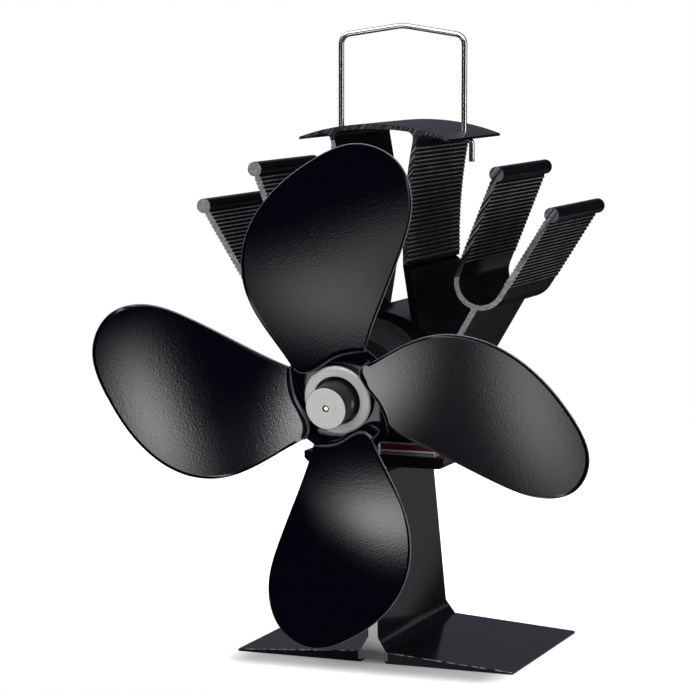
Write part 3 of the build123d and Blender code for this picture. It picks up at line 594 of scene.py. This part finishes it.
dressed("motor_magnets", grained_finish("magnet_ferrite", (1700, 1700, 1700), 1e-5, (0.045, 0.045, 0.047),
                                        (0.080, 0.080, 0.083), 0.45, 0.65))
softened(nodes["armature_core"], 0)
dressed("armature_core", grained_finish("core_steel", (400, 9000, 400), 5e-6, (0.22, 0.22, 0.23), (0.42, 0.42, 0.43),
                                        0.28, 0.46, Metallic=1.0))
softened(nodes["armature_coils"], 0)
dressed("armature_coils", grained_finish("coil_copper", (300, 6500, 300), 3e-5, (0.36, 0.11, 0.035),
                                         (0.60, 0.24, 0.09), 0.20, 0.34, Metallic=0.9, Coat_Weight=0.6))
softened(nodes["commutator"], 0)
dressed("commutator", grained_finish("commutator_copper", (900, 5200, 900), 3e-6, (0.50, 0.22, 0.12),
                                     (0.72, 0.36, 0.22), 0.20, 0.36, Metallic=1.0))
softened(nodes["motor_brushes"], 0)
dressed("motor_brushes", grained_finish("brush_bronze", (3000, 600, 3000), 2e-6, (0.55, 0.36, 0.17),
                                        (0.70, 0.50, 0.27), 0.24, 0.40, Metallic=1.0))
softened(nodes["motor_terminals"], 0)
dressed("motor_terminals", grained_finish("terminal_tin", (2400, 2400, 2400), 4e-6, (0.55, 0.55, 0.54),
                                          (0.72, 0.72, 0.70), 0.26, 0.42, Metallic=1.0))


# Module leads: two thin silicone leads that loop from the module's seal round the heat sink's edge and
# into the bore, each soldered beside its motor terminal.
lead_diameter = 0.0015
lead_route = ((7.0, 36.89, 76.7), (7.0, 49.34, 76.7), (7.0, 50.09, 83.828), (7.0, 49.34, 90.957),
              (8.01, 26.965, 95.557), (9.02, 12.591, 106.805), (9.02, 4.591, 106.055))


def module_lead(name, side, replaced, dark, light):
    """A lead as one smooth curve: a spline of order 3 with the route's points as its control points,
    mirrored for the left side."""
    line = bpy.data.curves.new(name, "CURVE")
    line.dimensions = "3D"
    line.bevel_depth = lead_diameter / 2
    line.bevel_resolution = 5
    line.resolution_u = 16
    line.use_fill_caps = True
    spline = line.splines.new("NURBS")
    spline.points.add(len(lead_route) - 1)
    for point, (x, y, z) in zip(spline.points, lead_route):
        point.co = (side * x / 1000, y / 1000, z / 1000, 1.0)
    spline.order_u = 3
    spline.use_endpoint_u = True
    lead = bpy.data.objects.new(name, line)
    scene.collection.objects.link(lead)
    line.materials.append(grained_finish(name + "_silicone", (1300, 1300, 1300), 6e-6, dark, light, 0.36, 0.50))
    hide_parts(replaced)
    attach(lead, "stand")
    x, y, z = lead_route[0]


module_lead("module_lead_red", 1, "lead_red", (0.30, 0.010, 0.010), (0.42, 0.018, 0.016))
module_lead("module_lead_black", -1, "lead_black", (0.012, 0.012, 0.012), (0.022, 0.022, 0.022))


# Carrying handle: one wire, bent and then chromed. The plating is near a mirror, with faint drawing
# lines of the wire under it.
softened(nodes["carry_handle"], 0)
dressed("carry_handle", grained_finish("handle_chrome", (300, 300, 300), 1e-7, (0.80, 0.80, 0.81), (0.86, 0.86, 0.87),
                                       0.12, 0.18, Metallic=1.0))


# Shaft and hub: the polished steel shaft, and the turned aluminium hub that a grub screw clamps on it.
# The side of the hub's barrel is coloured black and its faces are bare. The rims of its bore and of the
# shaft's front end are painted dark, a painted shade.
shaft_place, shaft_turn = (0.0, -0.103678, -0.026699), (math.radians(-99.1), 0.0, 0.0)
turned, turn_values, turn_out = new_effect(
    "turned_on_the_shaft", {"Rings": "Float", "Depth": "Float"},
    {"Ring": "Float", "Radius": "Float", "Along": "Float", "Normal": "Vector"})
to_shaft = joined(turned, "ShaderNodeMapping", Vector=turned.nodes.new("ShaderNodeTexCoord").outputs["Object"],
                  Location=shaft_place, Rotation=shaft_turn)
shaft_way = joined(turned, "ShaderNodeSeparateXYZ", Vector=to_shaft.outputs["Vector"]).outputs
off_shaft = joined(turned, "ShaderNodeCombineXYZ", X=shaft_way["X"], Y=shaft_way["Y"])
radius = joined(turned, "ShaderNodeVectorMath", "LENGTH", _0=off_shaft.outputs["Vector"]).outputs["Value"]
ring_place = product(turned, reckoned(turned, "ADD", radius, shaft_way["Z"]), turn_values["Rings"])
ring = joined(turned, "ShaderNodeTexNoise", "1D", W=ring_place, Scale=1.0, Detail=2.0).outputs["Fac"]
filled(turned, turn_out, Ring=ring, Radius=radius, Along=shaft_way["Z"],
       Normal=joined(turned, "ShaderNodeBump", Height=ring, Distance=turn_values["Depth"]).outputs["Normal"])

bore_inner, bore_outer = 0.00115, 0.00125
barrel_inner, barrel_outer, barrel_front = 0.00714, 0.0084, 0.01180
shaft_rim_inner, shaft_rim_outer, shaft_end = 0.00060, 0.00070, 0.0110
# Tones for the barrel's black side and for the painted shade on the rims of bore and shaft end
barrel_black_bore_shade_tone, shaft_rim_shade_tone = (0.006, 0.006, 0.007, 1.0), (0.004, 0.004, 0.004, 1.0)


def turned_finish(name, dark, light, smooth, rough, rings_a_metre, depth, metallic, blackened=False):
    """Metal turned in a lathe, with rings round the shaft. With the last flag set, the barrel's side between
    the boss and the face is coloured black, and the bore's rim is painted black as painted shade. Otherwise
    the rim of its front end is painted dark, a painted shade."""
    look, shader = new_finish(name, Metallic=metallic)
    tree = look.node_tree
    skin = placed(look, turned, Rings=rings_a_metre, Depth=depth).outputs
    if blackened:
        side = product(tree, reckoned(tree, "LESS_THAN", skin["Radius"], barrel_outer),
                       reckoned(tree, "GREATER_THAN", skin["Radius"], barrel_inner),
                       reckoned(tree, "LESS_THAN", skin["Along"], barrel_front))
        black = reckoned(tree, "MAXIMUM", side, graded(tree, skin["Radius"], bore_outer, bore_inner))
        filled(tree, shader, Metallic=reckoned(tree, "MULTIPLY_ADD", black, -metallic, metallic))
    else:
        black = product(tree, graded(tree, skin["Radius"], shaft_rim_inner, shaft_rim_outer),
                        reckoned(tree, "GREATER_THAN", skin["Along"], shaft_end))
    bright = blended(tree, skin["Ring"], (*dark, 1.0), (*light, 1.0))
    filled(tree, shader, Base_Color=blended(tree, black, bright, barrel_black_bore_shade_tone if blackened else shaft_rim_shade_tone),
           Roughness=graded(tree, skin["Ring"], *grain_range, smooth, rough), Normal=skin["Normal"])
    return look


softened(nodes["motor_shaft"], 0)
dressed("motor_shaft", turned_finish("shaft_steel", (0.55, 0.55, 0.56), (0.72, 0.72, 0.73), 0.12, 0.24, 2600, 8e-7,
                                     1.0))
softened(nodes["hub_bush"], 0)
dressed("hub_bush", turned_finish("hub_aluminium", (0.42, 0.41, 0.40), (0.56, 0.55, 0.53), 0.34, 0.46, 2200, 3e-6, 0.30,
                                  blackened=True))
softened(nodes["grub_screw"], 0)
dressed("grub_screw", grained_finish("screw_steel", (2500, 2500, 2500), 2e-6, (0.05, 0.05, 0.052), (0.10, 0.10, 0.105),
                                     0.30, 0.45, Metallic=0.8))


# Fan: one stamping of aluminium sheet, a disc with four blades that are bent to a large radius and
# turn down to the disc in a short wall. The sheet's edges are rounded and the bend at each root is soft.
# It is sprayed glossy black with a fine orange peel, and its rounded edges and root bends are painted
# lighter, as painted highlights.
blade_count = 4
fan_radius = 0.0909
sheet_thickness = 0.0008
blade_bend_radius = 0.391
blade_middle = (0.033 * fan_radius, 0.572 * fan_radius, 0.0033)
blade_rake, blade_pitch, bend_skew = math.radians(4.0), math.radians(12.05), math.radians(20.06)
disc_radius = 0.0204
disc_front = -0.0018
disc_hole_radius = 0.00802
shaft_tilt = math.radians(9.1)
shaft_root = np.array((0.0, -0.04276, 0.09815))
root_line_share = ((-0.150, 0.132), (-0.114, 0.114), (-0.078, 0.122), (-0.044, 0.141), (0.002, 0.170),
                   (0.056, 0.187), (0.116, 0.195))
edge_line_share = ((0.116, 0.195), (0.205, 0.405), (0.293, 0.602), (0.338, 0.765), (0.300, 0.914), (0.165, 0.986),
                   (-0.010, 0.931), (-0.190, 0.790), (-0.290, 0.617), (-0.300, 0.446), (-0.238, 0.287), (-0.150, 0.132))
root_bend_radius, top_bend_share = 0.0012, 0.5
disc_bend_radius, low_bend_share = 0.0008, 0.3
edge_round = 0.00032
bend_highlight_share = 0.65
fan_merge_distance, fan_crisp_angle = 2e-6, math.radians(50)


def turned_about(axis, angle):
    """The matrix of a turn about axis 0, 1 or 2."""
    c, s = math.cos(angle), math.sin(angle)
    one, two = (axis + 1) % 3, (axis + 2) % 3
    matrix = np.eye(3)
    matrix[one, one], matrix[one, two], matrix[two, one], matrix[two, two] = c, -s, s, c
    return matrix


blade_lie = turned_about(0, blade_rake) @ turned_about(1, blade_pitch) @ turned_about(2, bend_skew)


def drawn_line(shares, count):
    """A smooth line through points, given as shares of the fan's radius: cubics between them with equal
    first and second derivatives where they meet, along the distance from point to point. The points
    that it gives are evenly spaced along that distance."""
    points = np.array(shares) * fan_radius
    steps = np.linalg.norm(np.diff(points, axis=0), axis=1)
    along = np.concatenate(([0.0], np.cumsum(steps)))
    size = len(points)
    rows = np.zeros((size, size))
    right = np.zeros((size, 2))
    slopes = np.diff(points, axis=0) / steps[:, None]
    inner = np.arange(1, size - 1)
    rows[inner, inner - 1] = steps[:-1]
    rows[inner, inner] = 2 * (steps[:-1] + steps[1:])
    rows[inner, inner + 1] = steps[1:]
    right[1:-1] = 3 * np.diff(slopes, axis=0)
    rows[0, :3] = steps[1], -(steps[0] + steps[1]), steps[0]
    rows[-1, -3:] = steps[-1], -(steps[-1] + steps[-2]), steps[-2]
    second = np.linalg.solve(rows, right)
    place = np.linspace(0.0, along[-1], count)
    index = np.clip(np.searchsorted(along, place, side="right") - 1, 0, size - 2)
    t = (place - along[index])[:, None]
    first = slopes[index] - steps[index][:, None] * (2 * second[index] + second[index + 1]) / 3
    third = (second[index + 1] - second[index]) / (3 * steps[index][:, None])
    return points[index] + t * (first + t * (second[index] + t * third))


def blade_height(flat, radius):
    """How far forward of the fan's root the bent sheet is over points of the fan's plane: the nearer
    root of the quadratic for the line through each point along the shaft and the bend's cylinder."""
    behind = np.full((*flat.shape[:-1], 1), -blade_middle[2])
    local = np.concatenate((flat - blade_middle[:2], behind), axis=-1) @ blade_lie
    way = blade_lie[2]
    x, z = local[..., 0], local[..., 2] - blade_bend_radius
    a = way[0] ** 2 + way[2] ** 2
    b = 2 * (x * way[0] + z * way[2])
    c = x ** 2 + z ** 2 - radius ** 2
    return (-b - np.sqrt(b ** 2 - 4 * a * c)) / (2 * a)


def side_of(line):
    """The unit normal to the left of a line's direction at each of its points."""
    way = np.gradient(line, axis=0)
    way /= np.linalg.norm(way, axis=1)[:, None]
    return np.stack((-way[:, 1], way[:, 0]), axis=1)


root_count, edge_count, ring_count, disc_count, round_count = 61, 260, 34, 180, 9
taper_count = 12
front_radius, back_radius = blade_bend_radius - sheet_thickness / 2, blade_bend_radius + sheet_thickness / 2
root_line = drawn_line(root_line_share, root_count)
edge_line = drawn_line(edge_line_share, edge_count)
wall_line = root_line - (0.0, sheet_thickness)
wall_side = side_of(wall_line)
wall_height = blade_height(wall_line, front_radius) - disc_front
top_bend = np.minimum(root_bend_radius, top_bend_share * wall_height)
low_bend = np.minimum(disc_bend_radius, low_bend_share * wall_height)

# The section across the root, from the blade's front over the bend, down the wall and out on the disc
bend_angles = np.linspace(0.0, math.pi / 2, round_count)
bend_start = wall_line + wall_side * top_bend[:, None]
section_rows = []
for angle in bend_angles:
    flat_line = bend_start - wall_side * (top_bend * math.sin(angle))[:, None]
    height = blade_height(flat_line, front_radius) - top_bend * (1 - math.cos(angle))
    section_rows.append(np.column_stack((flat_line, height)))
for share in np.linspace(0.2, 1.0, 5):
    top, low = section_rows[len(bend_angles) - 1][:, 2], disc_front + low_bend
    section_rows.append(np.column_stack((wall_line, top + (low - top) * share)))
for angle in bend_angles[1:]:
    flat_line = wall_line - wall_side * (low_bend * (1 - math.cos(angle)))[:, None]
    section_rows.append(np.column_stack((flat_line, disc_front + low_bend * (1 - math.sin(angle)))))
section_rows.append(np.column_stack((section_rows[-1][:, :2], np.full(root_count, disc_front - sheet_thickness))))
section_rows.append(np.column_stack((root_line, np.full(root_count, disc_front - sheet_thickness))))
section_rows.append(np.column_stack((root_line, blade_height(root_line, back_radius))))
root_section = np.array(section_rows)

# The blade's face and back: rings that shrink towards the blade's middle, the outermost along the
# bend's start and inside the rounded edge
taper = np.clip(np.minimum(np.arange(edge_count), np.arange(edge_count)[::-1]) / taper_count, 0.0, 1.0)
edge_side = side_of(edge_line)
round_angles = np.linspace(0.0, math.pi, round_count)
edge_rows = []
for angle in round_angles:
    flat_line = edge_line + edge_side * (edge_round * taper * (1 - math.sin(angle)))[:, None]
    front, back = blade_height(flat_line, front_radius), blade_height(flat_line, back_radius)
    edge_rows.append(np.column_stack((flat_line, front + (back - front) * (1 - math.cos(angle)) / 2)))
edge_section = np.array(edge_rows)
centre = np.array(blade_middle[:2])
shrink = np.linspace(1.0, 0.0, ring_count)[:, None, None]
front_rim = np.concatenate((root_section[0, :, :2], edge_section[0, :, :2]))
back_rim = np.concatenate((root_line[:-1], edge_section[-1, :-1, :2]))


def sheet_rings(rim, radius):
    """Rings from a rim towards the blade's middle, all on the bent sheet."""
    flat = centre + (rim - centre)[None] * shrink
    return np.concatenate((flat, blade_height(flat, radius)[..., None]), axis=-1)


def grid_faces(rows, columns, start, closed, flipped):
    """The quads of a grid whose points are numbered row by row from a start."""
    r, c = np.meshgrid(np.arange(rows - 1), np.arange(columns if closed else columns - 1), indexing="ij")
    after = (c + 1) % columns
    quads = np.stack((r * columns + c, r * columns + after, (r + 1) * columns + after, (r + 1) * columns + c), axis=-1)
    quads = quads.reshape(-1, 4) + start
    return quads[:, ::-1] if flipped else quads


fan_points, fan_faces, fan_highlight = [], [], []


def add_grid(points, closed=False, flipped=False, highlight_share=None):
    """Adds a grid of points to the fan, with its quads. The painted highlight has the given share on each row."""
    start = sum(len(part) for part in fan_points)
    rows, columns = points.shape[:2]
    fan_points.append(points.reshape(-1, 3))
    fan_highlight.append(np.repeat(np.zeros(rows) if highlight_share is None else highlight_share, columns))
    fan_faces.extend(grid_faces(rows, columns, start, closed, flipped).tolist())


def add_cap(points, flipped):
    """Closes an open end with one flat face."""
    start = sum(len(part) for part in fan_points)
    fan_points.append(points)
    # The cap carries the full painted highlight
    fan_highlight.append(np.ones(len(points)))
    order = list(range(start, start + len(points)))
    fan_faces.append(order[::-1] if flipped else order)


# How strong the painted highlight is across the root's bend and across the rounded edge
bend_highlight = np.zeros(len(root_section))
bend_highlight[:len(bend_angles)] = bend_highlight_share * np.sin(2 * bend_angles)
edge_highlight = np.minimum(1.0, 2 * np.sin(round_angles))
blade_parts = ((sheet_rings(front_rim, front_radius), True, False, None),
               (sheet_rings(back_rim, back_radius), True, True, None),
               (root_section, False, True, bend_highlight), (edge_section, False, True, edge_highlight))
for number in range(blade_count):
    quarter = turned_about(2, number * 2 * math.pi / blade_count).T
    for points, closed, flipped, highlight_share in blade_parts:
        add_grid(points @ quarter, closed, flipped, highlight_share)
    for end, flipped in ((0, True), (-1, False)):
        add_cap(np.concatenate((root_section[:, end], edge_section[-2::-1, -1 - end])) @ quarter, flipped)

# The disc: the section of its rounded rim and its hole, turned about the shaft
disc_turn = np.linspace(0.0, 2 * math.pi, disc_count + 1)[:-1]
half = sheet_thickness / 2
disc_round = np.linspace(math.pi / 2, -math.pi / 2, round_count)
disc_profile = [(disc_hole_radius, -sheet_thickness), (disc_hole_radius, 0.0)]
disc_profile += [(disc_radius - half + half * math.cos(angle), -half + half * math.sin(angle)) for angle in disc_round]
disc_profile.append(disc_profile[0])
disc_profile = np.array(disc_profile)
disc_height = np.broadcast_to(disc_front + disc_profile[:, 1:], (len(disc_profile), disc_count))
add_grid(np.stack((disc_profile[:, :1] * np.cos(disc_turn), disc_profile[:, :1] * np.sin(disc_turn), disc_height),
                  axis=-1), True, True)

across = np.array((1.0, 0.0, 0.0))
forward = np.array((0.0, -math.cos(shaft_tilt), -math.sin(shaft_tilt)))
up_the_disc = np.cross(forward, across)
flat_fan = np.concatenate(fan_points)
placed_fan = shaft_root + flat_fan @ np.array((across, up_the_disc, forward))
fan_mesh = bpy.data.meshes.new("fan_stamping")
fan_mesh.from_pydata(placed_fan.tolist(), [], fan_faces)
fan_mesh.attributes.new("painted_highlight", "FLOAT", "POINT").data.foreach_set("value", np.concatenate(fan_highlight))
fan_mesh.polygons.foreach_set("use_smooth", np.ones(len(fan_mesh.polygons), dtype=bool))
fan = bpy.data.objects.new("fan_stamping", fan_mesh)
scene.collection.objects.link(fan)
fan_weld = fan.modifiers.new("merge", "WELD")
fan_weld.merge_threshold = fan_merge_distance
fan_split = fan.modifiers.new("crisp_edges", "EDGE_SPLIT")
fan_split.split_angle = fan_crisp_angle
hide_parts("fan_blades")
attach(fan, "rotor")

# The paint, lighter on the rounded edges and on the bend at each root, as painted highlights
edge_highlight_tone = (0.11, 0.11, 0.12, 1.0)
blade_look = grained_finish("blade_black", (1500, 1500, 1500), 3.8e-6, (0.0004, 0.0006, 0.0018),
                            (0.0009, 0.0012, 0.0034), 0.030, 0.040)
paint = blade_look.node_tree
paint_mark = paint.nodes.new("ShaderNodeAttribute")
paint_mark.attribute_name = "painted_highlight"
paint_shader = paint.nodes["Principled BSDF"]
paint_colour = paint_shader.inputs["Base Color"].links[0].from_socket
paint_highlight = graded(paint, paint_mark.outputs["Fac"], 0.35, 0.85)
filled(paint, paint_shader, Base_Color=blended(paint, paint_highlight, paint_colour, edge_highlight_tone))
fan_mesh.materials.append(blade_look)
